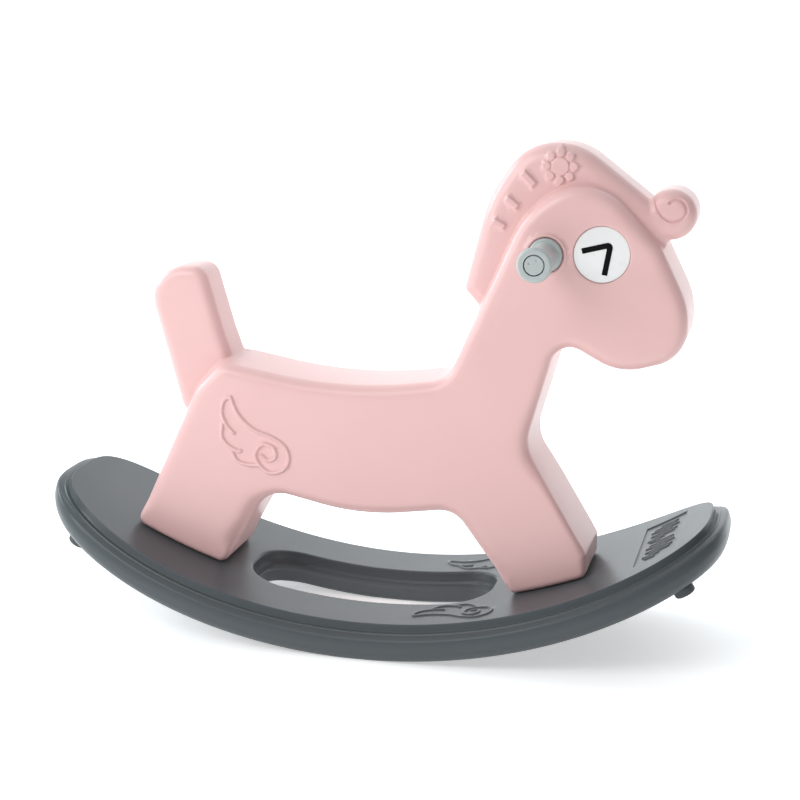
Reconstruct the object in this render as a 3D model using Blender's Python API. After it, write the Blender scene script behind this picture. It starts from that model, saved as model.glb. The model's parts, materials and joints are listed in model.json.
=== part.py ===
"""Toddler's rocking horse: a hollow plastic horse bolted on a hollow rocker base.

Metres, +Z up. The horse faces +X, and its left side is +Y. The origin is on the floor, below the
middle of the rocker. Run with: blender --background --python part.py
"""
import math

import bmesh
import bpy
from mathutils import Vector

# ---------------------------------------------------------------- driving dimensions
GAP = 0.0003                    # clearance between neighbouring pieces

ROCKER_RADIUS = 0.595           # arc of the base's top surface
BASE_THICKNESS = 0.0363         # top surface to the floor, in the middle
FLOOR_FLAT = 0.0005             # what the flat in the middle of the floor side takes off its arc
FLOOR_DEPTH = BASE_THICKNESS + FLOOR_FLAT
BASE_WALL = 0.0040
PLATEAU_HALF_LENGTH = 0.3712    # along the arc, to the edge of the top surface
PLATEAU_HALF_WIDTH = 0.123
PLATEAU_EXPONENT = 3.7         # superellipse: 2 is an ellipse, more is boxier
SLOT_REAR = -0.1539             # along the arc
SLOT_FRONT = 0.1216
SLOT_HALF_WIDTH = 0.055
SLOT_CORNER = 0.045
RIM_PROFILE = (                 # outwards from the plateau's edge, depth below the top surface
    (0.0000, 0.0000),
    (0.0030, 0.0070),
    (0.0080, 0.0095),
    (0.0120, 0.0130),
    (0.0158, 0.0205),
    (0.0130, 0.0300),
    (0.0055, FLOOR_DEPTH),
)
BASE_AROUND = 64                # points around the base
BASE_ACROSS = 6                 # faces from the slot to the plateau's edge
HOLLOW_AROUND = 40
HOLLOW_ACROSS = 4

TRUNK_HALF_WIDTH = 0.050
TRUNK_FILLET = 0.013
TAIL_HALF_WIDTH = 0.029
TAIL_FILLET = 0.011
MANE_HALF_WIDTH = 0.034
MANE_FILLET = 0.009
CURL_HALF_WIDTH = 0.0335
CURL_FILLET = 0.012
SHELL_WALL = 0.0045
SOLE_GAP = 0.0008               # between the soles and the base
SOLE_END = 0.0110               # straight stretch at each end of a sole's arc, for its rounding
FILLET_STEPS = 2                # faces across a rounded rim
HOLLOW_FILLET_STEPS = 1
ARC_STEP = math.radians(20)     # turn per edge along an outline's arcs
ARC_EDGE = 0.040                # longest edge along an outline's arcs

REAR_FOOT = (-0.2693, -0.1693)    # heel and toe of each sole
FRONT_FOOT = (0.1477, 0.2247)
CURL_CENTRE = (0.2941, 0.4595)
CURL_RADIUS = 0.0255

EYE_CENTRE = (0.2290, 0.4194)
EYE_RADIUS = 0.0285
EYE_THICKNESS = 0.0022
EYE_RECESS_DEPTH = 0.0028

HANDLE_CENTRE = (0.1727, 0.4166)
HANDLE_REACH = 0.1225           # from the middle plane to the outer end of a grip
GRIP_RADIUS = 0.0130
GRIP_DISC_RADIUS = 0.0175
GRIP_DISC_LENGTH = 0.0080
GRIP_FLANGE_RADIUS = 0.0172
GRIP_FLANGE_LENGTH = 0.0060
GRIP_SEAT_DEPTH = 0.0010
SPIGOT_RADIUS = 0.0124
ROD_RADIUS = 0.0040
ROD_HALF_LENGTH = 0.1165
POCKET_RADIUS = 0.0105
POCKET_DEPTH = 0.0145
NUT_ACROSS_FLATS = 0.0130
NUT_HEIGHT = 0.0062
PLUG_THICKNESS = 0.0038

BOLT_POINTS = (("rear", -0.2180), ("front", 0.1880))    # middle of each foot, along X
BOLT_SPREAD = 0.026                                     # bolt to the middle plane
BOLT_RADIUS = 0.0030
BOLT_REACH = 0.0190             # above the base's top surface
BOLT_HEAD_RADIUS = 0.0050
BOLT_HEAD_HEIGHT = 0.0048
BOSS_RADIUS = 0.0135
COUNTERBORE_RADIUS = 0.0095
BOSS_FLOOR = 0.0080             # left between the counterbore and the top surface
FOOT_WASHER_RADIUS = 0.0080
WASHER_THICKNESS = 0.0014
INSERT_RADIUS = 0.0052
INSERT_FLANGE_RADIUS = 0.0085
INSERT_LENGTH = 0.0170

STOPPER_ALONG = 0.3186          # along the arc from the middle
STOPPER_SPREAD = 0.078
STOPPER_RADIUS = 0.0110
STOPPER_HEIGHT = 0.0090
STOPPER_RECESS_RADIUS = 0.0052
STOPPER_RECESS_DEPTH = 0.0042
SCREW_RADIUS = 0.0020
SCREW_HEAD_RADIUS = 0.0042
SCREW_HEAD_HEIGHT = 0.0024
SCREW_LENGTH = 0.0140

SIDES = (("right", -1), ("left", 1))

# ---------------------------------------------------------------- outlines, side view
# Corners (x, z, rounding radius), anticlockwise. The soles are added from the rocker's arc.
REAR_FOOT_ROUNDING = 0.010
FRONT_FOOT_ROUNDING = 0.008
TRUNK_UPPER = (
    (0.2245, 0.1048, 0.006),    # toe of the front foot
    (0.1555, 0.2154, 0.035),    # chest
    (0.1872, 0.3310, 0.020),    # throat
    (0.2512, 0.2960, 0.060),    # jaw
    (0.3127, 0.3150, 0.040),    # chin
    (0.3187, 0.3660, 0.080),    # nose
    (0.2887, 0.4285, 0.030),    # forehead
    (0.2157, 0.5020, 0.056),    # crown
    (0.1489, 0.4600, 0.100),    # nape
    (0.0723, 0.2795, 0.033),    # withers
    (-0.0383, 0.2615, 0.480),   # seat
    (-0.1733, 0.2845, 0.022),   # croup
    (-0.2013, 0.2540, 0.060),   # rump
)
TRUNK_LOWER = (
    (-0.1228, 0.1478, 0.034),   # stifle
    (-0.0183, 0.1262, 0.260),   # belly
    (0.0827, 0.1412, 0.030),    # elbow
)
TAIL = (
    (-0.2033, 0.2000, 0.004),
    (-0.1573, 0.2600, 0.010),
    (-0.1768, 0.3120, 0.120),
    (-0.1983, 0.3828, 0.017),
    (-0.2675, 0.3785, 0.037),
    (-0.2245, 0.2310, 0.030),
)
MANE = (
    (0.1047, 0.3530, 0.004),
    (0.2567, 0.4000, 0.010),
    (0.2892, 0.4262, 0.004),
    (0.2977, 0.4385, 0.006),
    (0.2927, 0.4600, 0.006),
    (0.2722, 0.4715, 0.006),
    (0.1927, 0.5312, 0.066),
    (0.1423, 0.5180, 0.053),
    (0.1097, 0.4700, 0.150),
    (0.0862, 0.3735, 0.005),
)

PINK = (0.855, 0.540, 0.525)
SLATE = (0.130, 0.155, 0.170)
GREY = (0.420, 0.470, 0.475)
WHITE = (0.900, 0.900, 0.900)
BLACK = (0.020, 0.020, 0.022)
STEEL = (0.550, 0.560, 0.580)
BRASS = (0.780, 0.570, 0.250)


# ---------------------------------------------------------------- general helpers
def clear_scene():
    for obj in list(bpy.data.objects):
        bpy.data.objects.remove(obj)


def material(name, colour, roughness, metallic=0.0):
    made = bpy.data.materials.new(name)
    made.use_nodes = True
    shader = made.node_tree.nodes["Principled BSDF"]
    shader.inputs["Base Color"].default_value = (*colour, 1.0)
    shader.inputs["Roughness"].default_value = roughness
    shader.inputs["Metallic"].default_value = metallic
    made.diffuse_color = (*colour, 1.0)
    return made


def add_object(name, mesh, finish):
    obj = bpy.data.objects.new(name, mesh)
    bpy.context.collection.objects.link(obj)
    if finish is not None:
        mesh.materials.append(finish)
    return obj


def skin(name, rings, ring_shaped=False):
    """A closed mesh through rings of equal point counts: a loop of rings, or a stack with end caps."""
    bm = bmesh.new()
    loops = [[bm.verts.new(point) for point in ring] for ring in rings]
    pairs = list(zip(loops, loops[1:]))
    if ring_shaped:
        pairs.append((loops[-1], loops[0]))
    for lower, upper in pairs:
        for i in range(len(lower)):
            j = (i + 1) % len(lower)
            bm.faces.new((lower[i], lower[j], upper[j], upper[i]))
    if not ring_shaped:
        bm.faces.new(list(reversed(loops[0])))
        bm.faces.new(loops[-1])
    bmesh.ops.recalc_face_normals(bm, faces=bm.faces)
    mesh = bpy.data.meshes.new(name)
    bm.to_mesh(mesh)
    bm.free()
    return mesh


def circle(radius, height, count, flats=0):
    """Points around Z. With flats, radius is the one inscribed in a regular polygon."""
    points = []
    for i in range(count):
        angle = math.tau * i / count
        reach = radius
        if flats:
            half = math.pi / flats
            reach = radius / math.cos((angle + half) % (2 * half) - half)
        points.append(Vector((reach * math.cos(angle), reach * math.sin(angle), height)))
    return points


def turned(name, profile, count=16, bored=False):
    """A solid turned around Z from (radius, height) points. A bored one's profile is a closed loop."""
    mesh = skin(name, [circle(radius, height, count) for radius, height in profile], bored)
    smooth(mesh)
    return mesh


def smooth(mesh, angle=math.radians(35)):
    mesh.shade_smooth()
    mesh.set_sharp_from_angle(angle=angle)


def boolean(obj, tool, operation):
    """Joins or cuts with a guide object that the build leaves out."""
    tool.hide_render = True
    tool.display_type = "WIRE"
    step = obj.modifiers.new(tool.name, "BOOLEAN")
    step.operation = operation
    step.solver = "EXACT"
    step.object = tool


def stand_along_y(obj, side, centre):
    """Turns a solid made around Z so that its +Z points outwards on one side of the horse."""
    obj.rotation_euler = (-side * math.pi / 2, 0, 0)
    obj.location = (centre[0], 0, centre[1])


# ---------------------------------------------------------------- the rocker's arc
def bent(along, across, depth):
    """A point of the flat base, wrapped on the rocker's arc."""
    angle = along / ROCKER_RADIUS
    reach = ROCKER_RADIUS + depth
    height = BASE_THICKNESS + ROCKER_RADIUS - reach * math.cos(angle)
    return Vector((reach * math.sin(angle), across, max(height, 0.0)))


def plan_view(loop):
    """A loop drawn on the flat base, as seen from above once it is wrapped on the arc."""
    return [Vector((ROCKER_RADIUS * math.sin(point.x / ROCKER_RADIUS), point.y)) for point in loop]


def dropped(point, depth):
    """A point of the plan view on the arc at a depth: the base's walls are drawn straight down."""
    height = BASE_THICKNESS + ROCKER_RADIUS - math.sqrt((ROCKER_RADIUS + depth) ** 2 - point.x ** 2)
    return Vector((point.x, point.y, max(height, 0.0)))


def stand_on_arc(obj, along, across, depth):
    """Stands an object made along +Z square to the rocker's arc."""
    obj.location = bent(along, across, depth)
    obj.rotation_euler = (0, -along / ROCKER_RADIUS, 0)


def along_at(x):
    return ROCKER_RADIUS * math.asin(x / ROCKER_RADIUS)


# ---------------------------------------------------------------- rounded outlines
def inset_lines(corners, inset):
    """Each edge of the outline as (point, direction), moved inwards."""
    lines = []
    for i, (x, z, _) in enumerate(corners):
        far = corners[(i + 1) % len(corners)]
        direction = Vector((far[0] - x, far[1] - z)).normalized()
        inwards = Vector((-direction.y, direction.x))
        lines.append((Vector((x, z)) + inwards * inset, direction))
    return lines


def outline(corners, inset=0.0):
    """Points of a rounded outline, moved inwards by inset. Every inset gives the same count."""
    lines = inset_lines(corners, inset)
    points = []
    for i, (_, _, radius) in enumerate(corners):
        start, before = lines[i - 1]
        end, after = lines[i]
        turn = math.atan2(before.cross(after), before.dot(after))
        corner = start + before * ((end - start).cross(after) / before.cross(after))
        # Inwards, an outer corner's arc gets smaller and an inner corner's gets larger.
        arc = max(radius - math.copysign(inset, turn), 0.0004)
        tangent = arc * math.tan(abs(turn) / 2)
        centre = corner - before * tangent + before.orthogonal() * math.copysign(arc, turn)
        steps = max(2, math.ceil(abs(turn) / ARC_STEP), math.ceil(radius * abs(turn) / ARC_EDGE))
        spoke = corner - before * tangent - centre
        for k in range(steps + 1):
            angle = turn * k / steps
            cos, sin = math.cos(angle), math.sin(angle)
            points.append(centre + Vector((spoke.x * cos - spoke.y * sin, spoke.x * sin + spoke.y * cos)))
    return points


def sole_corners(heel, toe, rounding):
    """A foot's sole on the base's arc: the arc's corner, and a straight end on either side."""
    radius = ROCKER_RADIUS - SOLE_GAP
    centre_z = BASE_THICKNESS + ROCKER_RADIUS
    start = math.asin(heel / radius) + SOLE_END / radius
    end = math.asin(toe / radius) - SOLE_END / radius
    middle = (start + end) / 2
    reach = radius / math.cos((end - start) / 2)
    corners = []
    for angle, distance, outwards, corner_radius in (
        (start, radius, -SOLE_END, rounding),
        (middle, reach, 0.0, radius),
        (end, radius, SOLE_END, rounding),
    ):
        x = distance * math.sin(angle) + outwards * math.cos(angle)
        z = centre_z - distance * math.cos(angle) + outwards * math.sin(angle)
        corners.append((x, z, corner_radius))
    return corners


def trunk_corners():
    return (
        *sole_corners(*REAR_FOOT, REAR_FOOT_ROUNDING),
        *TRUNK_LOWER,
        *sole_corners(*FRONT_FOOT, FRONT_FOOT_ROUNDING),
        *TRUNK_UPPER,
    )


def rounded_plate(name, corners, half_width, fillet, wall, fillet_steps):
    """A thick plate with its outline in XZ and both rims rounded; wall moves all of it inwards."""
    half_width -= wall
    fillet -= wall
    side = []
    for k in range(fillet_steps + 1):
        angle = math.pi / 2 * k / fillet_steps
        inset = wall + fillet * (1 - math.cos(angle))
        y = half_width - fillet * (1 - math.sin(angle))
        side.append([(point.x, y, point.y) for point in outline(corners, inset)])
    mirrored = [[(x, -y, z) for x, y, z in ring] for ring in reversed(side)]
    return skin(name, mirrored + side)


def curl_mesh(name, wall, fillet_steps):
    """The forelock's round end: a disc with well rounded rims."""
    radius = CURL_RADIUS - wall
    half_width = CURL_HALF_WIDTH - wall
    fillet = CURL_FILLET - wall
    profile = []
    for k in range(fillet_steps + 1):
        angle = math.pi / 2 * k / fillet_steps
        profile.append((radius - fillet * (1 - math.cos(angle)), half_width - fillet * (1 - math.sin(angle))))
    mirrored = [(reach, -height) for reach, height in reversed(profile)]
    return turned(name, mirrored + profile, 24)


# ---------------------------------------------------------------- horse shell
def plates(prefix, wall, fillet_steps):
    """The horse's plain shapes, at full size or as the hollow inside them."""
    shapes = (
        ("trunk", trunk_corners(), TRUNK_HALF_WIDTH, TRUNK_FILLET),
        ("tail", TAIL, TAIL_HALF_WIDTH, TAIL_FILLET),
        ("mane", MANE, MANE_HALF_WIDTH, MANE_FILLET),
    )
    made = []
    for shape, corners, half_width, fillet in shapes:
        name = f"{prefix}_{shape}"
        mesh = rounded_plate(name, corners, half_width, fillet, wall, fillet_steps)
        made.append(add_object(name, mesh, None))
    curl = add_object(f"{prefix}_curl", curl_mesh(f"{prefix}_curl", wall, fillet_steps), None)
    stand_along_y(curl, 1, CURL_CENTRE)
    made.append(curl)
    return made


def cylinder_cutter(name, radius, low, high, count=24):
    return add_object(name, skin(name, [circle(radius, low, count), circle(radius, high, count)]), None)


def horse_shell(finish):
    trunk, *others = plates("outer", 0.0, FILLET_STEPS)
    trunk.name = "horse_shell"
    trunk.data.materials.append(finish)
    for other in others:
        boolean(trunk, other, "UNION")
    hollow, *hollow_others = plates("hollow", SHELL_WALL, HOLLOW_FILLET_STEPS)
    for other in hollow_others:
        boolean(hollow, other, "UNION")
    boolean(trunk, hollow, "DIFFERENCE")
    surface = TRUNK_HALF_WIDTH
    for side_name, side in SIDES:
        cutters = (
            ("eye_recess", EYE_CENTRE, EYE_RADIUS + 0.0004, surface - EYE_RECESS_DEPTH, 0.06),
            ("grip_seat", HANDLE_CENTRE, GRIP_DISC_RADIUS + 0.0006, surface - GRIP_SEAT_DEPTH, 0.06),
            ("grip_bore", HANDLE_CENTRE, SPIGOT_RADIUS + 0.0004, 0.03, 0.06),
        )
        for cut_name, centre, radius, low, high in cutters:
            cutter = cylinder_cutter(f"{cut_name}_{side_name}", radius, low, high)
            stand_along_y(cutter, side, centre)
            boolean(trunk, cutter, "DIFFERENCE")
    for name, x, y in foot_points():
        cutter = cylinder_cutter(f"sole_hole_{name}", INSERT_RADIUS + GAP, -0.010, 0.012, 16)
        stand_on_arc(cutter, along_at(x), y, 0)
        boolean(trunk, cutter, "DIFFERENCE")
    smooth(trunk.data)


# ---------------------------------------------------------------- rocker base
def superellipse(half_length, half_width, exponent, count):
    points = []
    for i in range(count):
        angle = math.tau * i / count
        cos, sin = math.cos(angle), math.sin(angle)
        points.append(Vector((
            half_length * math.copysign(abs(cos) ** (2 / exponent), cos),
            half_width * math.copysign(abs(sin) ** (2 / exponent), sin),
        )))
    return points


def spaced(loop, count):
    """Evenly spaced points around a closed loop, from the loop's first point."""
    lengths = [(loop[(i + 1) % len(loop)] - loop[i]).length for i in range(len(loop))]
    total = sum(lengths)
    points = []
    edge, walked = 0, 0.0
    for i in range(count):
        target = total * i / count
        while walked + lengths[edge] < target:
            walked += lengths[edge]
            edge += 1
        share = (target - walked) / lengths[edge]
        points.append(loop[edge].lerp(loop[(edge + 1) % len(loop)], share))
    return points


def slot_loop(grow):
    """The slot's outline in the flat base, from its front end, grown by a wall."""
    front, rear = SLOT_FRONT + grow, SLOT_REAR - grow
    half, corner = SLOT_HALF_WIDTH + grow, SLOT_CORNER + grow
    loop = [Vector((front, 0))]
    for x, y, start in ((front, half, 0), (rear, half, 90), (rear, -half, 180), (front, -half, 270)):
        centre = Vector((x - math.copysign(corner, x), y - math.copysign(corner, y)))
        for k in range(13):
            angle = math.radians(start + 7.5 * k)
            loop.append(centre + Vector((math.cos(angle), math.sin(angle))) * corner)
    return loop


def base_mesh(name, wall, around, faces_across):
    """The rocker as a loop of rings: top, rim, floor side and slot. wall moves all of it inwards."""
    fine = superellipse(PLATEAU_HALF_LENGTH, PLATEAU_HALF_WIDTH, PLATEAU_EXPONENT, 720)
    plateau = spaced(plan_view(fine), around)
    slot = spaced(plan_view(slot_loop(wall)), around)
    outwards = []
    for i in range(around):
        step = plateau[(i + 1) % around] - plateau[i - 1]
        outwards.append(Vector((step.y, -step.x)).normalized())

    def ring(points, depth):
        return [dropped(point, depth) for point in points]

    def rim(offset):
        return [point + normal * (offset - wall) for point, normal in zip(plateau, outwards)]

    def across(edge, share):
        return [inner.lerp(outer, share) for inner, outer in zip(slot, edge)]

    top, floor = wall, FLOOR_DEPTH - wall
    rings = [ring(across(rim(0), k / faces_across), top) for k in range(faces_across)]
    for offset, depth in RIM_PROFILE:
        rings.append(ring(rim(offset), min(max(depth, top), floor)))
    low_edge = rim(RIM_PROFILE[-1][0])
    rings += [ring(across(low_edge, 1 - k / faces_across), floor) for k in range(1, faces_across + 1)]
    return skin(name, rings, ring_shaped=True)


def foot_points():
    """Name, x and y of the four bolted points."""
    return [
        (f"{end}_{side_name}", x, side * BOLT_SPREAD)
        for end, x in BOLT_POINTS
        for side_name, side in SIDES
    ]


def stopper_points():
    return [
        (f"{end}_{side_name}", along, side * STOPPER_SPREAD)
        for end, along in (("rear", -STOPPER_ALONG), ("front", STOPPER_ALONG))
        for side_name, side in SIDES
    ]


def rocker_base(finish):
    base = add_object("rocker_base", base_mesh("rocker_base", 0.0, BASE_AROUND, BASE_ACROSS), finish)
    hollow = base_mesh("base_hollow", BASE_WALL, HOLLOW_AROUND, HOLLOW_ACROSS)
    boolean(base, add_object("base_hollow", hollow, None), "DIFFERENCE")
    half_wall = BASE_WALL / 2
    for name, x, y in foot_points():
        along = along_at(x)
        boss = cylinder_cutter(f"boss_{name}", BOSS_RADIUS, half_wall - FLOOR_DEPTH, -half_wall, 16)
        counterbore = cylinder_cutter(f"counterbore_{name}", COUNTERBORE_RADIUS, -0.045, -BOSS_FLOOR, 16)
        hole = cylinder_cutter(f"bolt_hole_{name}", BOLT_RADIUS + GAP, -0.02, 0.01, 12)
        for tool, operation in ((boss, "UNION"), (counterbore, "DIFFERENCE"), (hole, "DIFFERENCE")):
            stand_on_arc(tool, along, y, 0)
            boolean(base, tool, operation)
    for name, along, y in stopper_points():
        hole = cylinder_cutter(f"screw_hole_{name}", SCREW_RADIUS + GAP, -0.01, 0.01, 12)
        stand_on_arc(hole, along, y, FLOOR_DEPTH)
        boolean(base, hole, "DIFFERENCE")
    smooth(base.data)


# ---------------------------------------------------------------- foot fasteners
def foot_fasteners(steel, brass):
    washer_top = -BOSS_FLOOR - GAP
    washer_low = washer_top - WASHER_THICKNESS
    head_top = washer_low - GAP
    bore = BOLT_RADIUS + GAP
    bolt_profile = (
        (BOLT_HEAD_RADIUS - 0.0005, head_top - BOLT_HEAD_HEIGHT),
        (BOLT_HEAD_RADIUS, head_top - BOLT_HEAD_HEIGHT + 0.0005),
        (BOLT_HEAD_RADIUS, head_top),
        (BOLT_RADIUS, head_top),
        (BOLT_RADIUS, BOLT_REACH - 0.001),
        (BOLT_RADIUS - 0.001, BOLT_REACH),
    )
    washer_profile = (
        (bore, washer_low),
        (FOOT_WASHER_RADIUS, washer_low),
        (FOOT_WASHER_RADIUS, washer_top),
        (bore, washer_top),
    )
    flange_low = SOLE_GAP + SHELL_WALL + 2 * GAP
    insert_profile = (
        (bore, 0.0010),
        (INSERT_RADIUS, 0.0010),
        (INSERT_RADIUS, flange_low),
        (INSERT_FLANGE_RADIUS, flange_low),
        (INSERT_FLANGE_RADIUS, flange_low + 0.0020),
        (INSERT_RADIUS, flange_low + 0.0020),
        (INSERT_RADIUS, INSERT_LENGTH),
        (bore, INSERT_LENGTH),
    )
    bolt = turned("foot_bolt", bolt_profile)
    washer = turned("foot_washer", washer_profile, bored=True)
    insert = turned("foot_insert", insert_profile, bored=True)
    for mesh, finish in ((bolt, steel), (washer, steel), (insert, brass)):
        mesh.materials.append(finish)
    for name, x, y in foot_points():
        for kind, mesh in (("foot_bolt", bolt), ("foot_washer", washer), ("foot_insert", insert)):
            stand_on_arc(add_object(f"{kind}_{name}", mesh, None), along_at(x), y, 0)


# ---------------------------------------------------------------- stoppers
def stoppers(rubber, steel):
    low = -STOPPER_HEIGHT
    floor = low + STOPPER_RECESS_DEPTH
    hole = SCREW_RADIUS + GAP
    stopper_profile = (
        (hole, -GAP),
        (hole, floor),
        (STOPPER_RECESS_RADIUS, floor),
        (STOPPER_RECESS_RADIUS, low),
        (STOPPER_RADIUS - 0.0015, low),
        (STOPPER_RADIUS, low + 0.0015),
        (STOPPER_RADIUS, -GAP),
    )
    head_top = floor - GAP
    screw_profile = (
        (SCREW_HEAD_RADIUS - 0.0008, head_top - SCREW_HEAD_HEIGHT),
        (SCREW_HEAD_RADIUS, head_top - SCREW_HEAD_HEIGHT + 0.0010),
        (SCREW_HEAD_RADIUS, head_top),
        (SCREW_RADIUS, head_top),
        (SCREW_RADIUS, head_top + SCREW_LENGTH - 0.003),
        (SCREW_RADIUS / 3, head_top + SCREW_LENGTH),
    )
    stopper = turned("stopper", stopper_profile, bored=True)
    screw = turned("stopper_screw", screw_profile, 12)
    stopper.materials.append(rubber)
    screw.materials.append(steel)
    for name, along, y in stopper_points():
        for kind, mesh in (("stopper", stopper), ("stopper_screw", screw)):
            stand_on_arc(add_object(f"{kind}_{name}", mesh, None), along, y, FLOOR_DEPTH)


# ---------------------------------------------------------------- eyes
def eyes(finish):
    back = TRUNK_HALF_WIDTH - EYE_RECESS_DEPTH + GAP
    front = back + EYE_THICKNESS
    profile = (
        (EYE_RADIUS - 0.0004, back),
        (EYE_RADIUS, back + 0.0004),
        (EYE_RADIUS, front - 0.0006),
        (EYE_RADIUS - 0.0006, front),
    )
    mesh = turned("eye_disc", profile, 32)
    mesh.materials.append(finish)
    for side_name, side in SIDES:
        stand_along_y(add_object(f"eye_disc_{side_name}", mesh, None), side, EYE_CENTRE)


# ---------------------------------------------------------------- handle
def grip_mesh(finish):
    seat = TRUNK_HALF_WIDTH - GRIP_SEAT_DEPTH + GAP
    flange_end = seat + GRIP_FLANGE_LENGTH
    disc_start = HANDLE_REACH - GRIP_DISC_LENGTH
    pocket_floor = HANDLE_REACH - POCKET_DEPTH
    bore = ROD_RADIUS + GAP
    profile = (
        (bore, GAP),
        (SPIGOT_RADIUS, GAP),
        (SPIGOT_RADIUS, seat),
        (GRIP_FLANGE_RADIUS, seat),
        (GRIP_FLANGE_RADIUS, flange_end - 0.002),
        (GRIP_FLANGE_RADIUS - 0.002, flange_end),
        (GRIP_RADIUS, flange_end),
        (GRIP_RADIUS, disc_start),
        (GRIP_DISC_RADIUS - 0.0015, disc_start),
        (GRIP_DISC_RADIUS, disc_start + 0.0015),
        (GRIP_DISC_RADIUS, HANDLE_REACH - 0.0025),
        (GRIP_DISC_RADIUS - 0.0025, HANDLE_REACH),
        (POCKET_RADIUS, HANDLE_REACH),
        (POCKET_RADIUS, pocket_floor),
        (bore, pocket_floor),
    )
    mesh = turned("handle_grip", profile, 24, bored=True)
    mesh.materials.append(finish)
    return mesh


def nut_mesh(low, finish):
    high = low + NUT_HEIGHT
    flat, bore = NUT_ACROSS_FLATS / 2, ROD_RADIUS + GAP
    rings = [
        circle(bore, low, 18),
        circle(flat, low, 18, flats=6),
        circle(flat, high, 18, flats=6),
        circle(bore, high, 18),
    ]
    mesh = skin("rod_nut", rings, ring_shaped=True)
    mesh.materials.append(finish)
    return mesh


def handle(grip_finish, steel):
    axis = bpy.data.objects.new("handle_axis", None)
    bpy.context.collection.objects.link(axis)
    axis.location = (HANDLE_CENTRE[0], 0, HANDLE_CENTRE[1])
    bore = ROD_RADIUS + GAP
    washer_low = HANDLE_REACH - POCKET_DEPTH + GAP
    washer_high = washer_low + WASHER_THICKNESS
    washer_profile = (
        (bore, washer_low),
        (NUT_ACROSS_FLATS / 2 + 0.0015, washer_low),
        (NUT_ACROSS_FLATS / 2 + 0.0015, washer_high),
        (bore, washer_high),
    )
    plug_low = HANDLE_REACH - PLUG_THICKNESS
    plug_radius = POCKET_RADIUS - GAP
    plug_profile = (
        (plug_radius, plug_low),
        (plug_radius, HANDLE_REACH - 0.0010),
        (plug_radius - 0.0006, HANDLE_REACH - 0.0004),
    )
    rod_profile = (
        (ROD_RADIUS - 0.001, -ROD_HALF_LENGTH),
        (ROD_RADIUS, 0.001 - ROD_HALF_LENGTH),
        (ROD_RADIUS, ROD_HALF_LENGTH - 0.001),
        (ROD_RADIUS - 0.001, ROD_HALF_LENGTH),
    )
    washer = turned("rod_washer", washer_profile, bored=True)
    washer.materials.append(steel)
    plug = turned("handle_plug", plug_profile, 24)
    plug.materials.append(grip_finish)
    pieces = (
        ("handle_grip", grip_mesh(grip_finish)),
        ("handle_plug", plug),
        ("rod_washer", washer),
        ("rod_nut", nut_mesh(washer_high + GAP, steel)),
    )
    for side_name, side in SIDES:
        for kind, mesh in pieces:
            piece = add_object(f"{kind}_{side_name}", mesh, None)
            stand_along_y(piece, side, (0, 0))
            piece.parent = axis
    rod = add_object("handle_rod", turned("handle_rod", rod_profile), steel)
    stand_along_y(rod, 1, (0, 0))
    rod.parent = axis


def main():
    clear_scene()
    steel = material("zinc_plated_steel", STEEL, 0.35, 1.0)
    grip_finish = material("grey_plastic", GREY, 0.35)
    horse_shell(material("pink_plastic", PINK, 0.35))
    rocker_base(material("slate_plastic", SLATE, 0.40))
    foot_fasteners(steel, material("brass", BRASS, 0.35, 1.0))
    stoppers(material("black_rubber", BLACK, 0.80), steel)
    eyes(material("white_plastic", WHITE, 0.30))
    handle(grip_finish, steel)


main()
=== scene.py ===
"""Looks of the toddler's rocking horse: fine shells and fittings, moulded plastic, light and camera.

Metres, +Z up. The horse faces +X, and the camera looks at its right side, which is -Y.
"""

import json
import math

import bmesh
import bpy
import numpy as np
from mathutils import Matrix, Vector, geometry


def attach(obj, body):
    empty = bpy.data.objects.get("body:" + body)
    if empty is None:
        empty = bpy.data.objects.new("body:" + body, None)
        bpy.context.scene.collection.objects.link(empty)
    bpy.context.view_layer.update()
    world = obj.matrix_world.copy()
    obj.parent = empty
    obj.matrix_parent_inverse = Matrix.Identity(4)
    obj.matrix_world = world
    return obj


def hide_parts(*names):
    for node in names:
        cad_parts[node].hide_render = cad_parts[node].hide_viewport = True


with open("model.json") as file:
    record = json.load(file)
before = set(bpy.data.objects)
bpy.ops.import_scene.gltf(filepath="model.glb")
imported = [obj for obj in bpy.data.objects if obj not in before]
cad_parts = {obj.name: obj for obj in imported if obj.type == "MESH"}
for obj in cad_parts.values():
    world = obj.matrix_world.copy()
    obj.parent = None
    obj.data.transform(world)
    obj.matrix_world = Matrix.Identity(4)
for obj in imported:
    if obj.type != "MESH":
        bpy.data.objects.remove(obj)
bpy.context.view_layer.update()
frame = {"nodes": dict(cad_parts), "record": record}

MM = 0.001
SIDES = (("right", -1), ("left", 1))    # each side's name, and its sign along Y
WELD_DISTANCE, GRID_MERGE = 0.5e-5, 2e-5    # points this close become one

# ---------------------------------------------------------------- dimensions of the frame
ROCKER_RADIUS = 0.595           # arc of the base's top surface
BASE_THICKNESS = 0.0363
FLOOR_DEPTH = 0.0368
PLATEAU_HALF_LENGTH = 0.3712    # along the arc
PLATEAU_HALF_WIDTH = 0.123
PLATEAU_EXPONENT = 3.25
SLOT_REAR, SLOT_FRONT = -0.1475, 0.1216
SLOT_HALF_WIDTH = 0.055
SLOT_CORNER = 0.045

TRUNK_HALF_WIDTH, TRUNK_FILLET = 0.050, 0.013
TAIL_HALF_WIDTH, TAIL_FILLET = 0.029, 0.011
MANE_HALF_WIDTH, MANE_FILLET = 0.034, 0.016
CURL_HALF_WIDTH, CURL_FILLET = 0.034, 0.014
CURL_CENTRE, CURL_RADIUS = (0.2941, 0.4595), 0.0255
SOLE_GAP = 0.0006
SOLE_END = 0.0110
REAR_FOOT = (-0.2693, -0.1693)    # heel and toe of each sole
FRONT_FOOT = (0.1477, 0.2247)

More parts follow.
